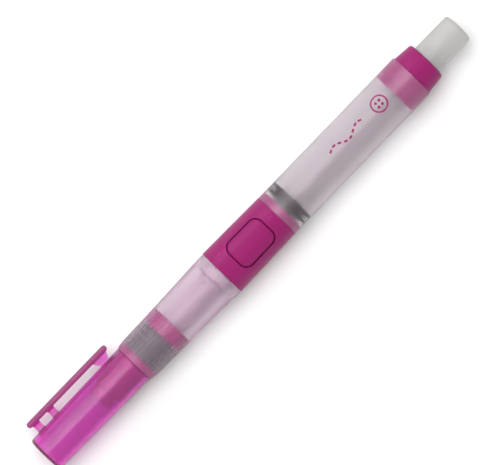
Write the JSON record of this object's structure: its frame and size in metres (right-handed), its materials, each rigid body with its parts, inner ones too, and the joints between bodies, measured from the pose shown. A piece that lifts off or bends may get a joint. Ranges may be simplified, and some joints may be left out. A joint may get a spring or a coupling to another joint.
{
  "type": "fabric marking pen",
  "caption": "Push-feed fabric marking pen with clip cap, ribbed frosted grip, side release button and push knob.",
  "frame": {"origin": "centre of the closed end face of the cap, on the pen's axis", "axes": "+X along the pen towards the push knob, +Y towards the pocket clip, +Z out of the side button"},
  "size_m": [0.15, 0.0157, 0.0136],
  "materials": {
    "cap_clear": "translucent tinted polypropylene, polished",
    "magenta": "opaque moulded plastic, satin",
    "grip_frost": "frosted translucent plastic with a pink tint",
    "rear_frost": "frosted translucent plastic, faint pink-grey tint",
    "knob_frost": "frosted translucent plastic, neutral",
    "inner_clear": "milky translucent plastic",
    "white_inner": "moulded acetal, satin",
    "cream_acetal": "moulded acetal, satin",
    "dark_seal": "soft dark grey rubber",
    "black_part": "black moulded plastic, satin",
    "black_ring": "black nitrile rubber",
    "stick": "waxy coloured stick",
    "steel": "drawn spring wire",
    "brass": "turned brass"
  },
  "bodies": {
    "barrel": {"grip_barrel": "grip_frost", "nozzle": "magenta", "nozzle_seal": "dark_seal", "refill_tube": "inner_clear", "rod_brake": "dark_seal", "mechanism_frame": "inner_clear", "centre_sleeve": "magenta", "spring_seat": "magenta", "rear_bushing": "black_part", "bushing_o_ring": "black_ring", "rear_barrel": "rear_frost", "spring_cup": "magenta", "end_collar": "magenta", "knob_spring": "steel", "release_spring": "steel"},
    "cap": {"cap": "cap_clear"},
    "knob": {"push_knob": "knob_frost", "drive_tube": "inner_clear", "collet": "cream_acetal"},
    "feed": {"feed_rod": "white_inner", "stick_follower": "white_inner", "marking_stick": "stick"},
    "side_button": {"side_button": "magenta"},
    "release": {"release_slider": "white_inner", "clutch_ring": "brass"}
  },
  "joints": [
    {"name": "cap_pull", "type": "slide", "parent": "barrel", "child": "cap", "axis": [-1, 0, 0], "range_m": [0, 0.045]},
    {"name": "knob_press", "type": "slide", "parent": "barrel", "child": "knob", "axis": [-1, 0, 0], "range_m": [0, 0.003], "stiffness_N_per_m": 500, "deforming": ["knob_spring"]},
    {"name": "stick_feed", "type": "slide", "parent": "barrel", "child": "feed", "axis": [-1, 0, 0], "range_m": [0, 0.015]},
    {"name": "side_button_press", "type": "slide", "parent": "barrel", "child": "side_button", "axis": [0, 0, -1], "range_m": [0, 0.001], "stiffness_N_per_m": 400},
    {"name": "release_slide", "type": "slide", "parent": "barrel", "child": "release", "axis": [1, 0, 0], "range_m": [0, 0.001], "stiffness_N_per_m": 200, "deforming": ["release_spring"]}
  ],
  "couplings": [
    {"joint": "release_slide", "follows": "side_button_press", "ratio": 1}
  ]
}
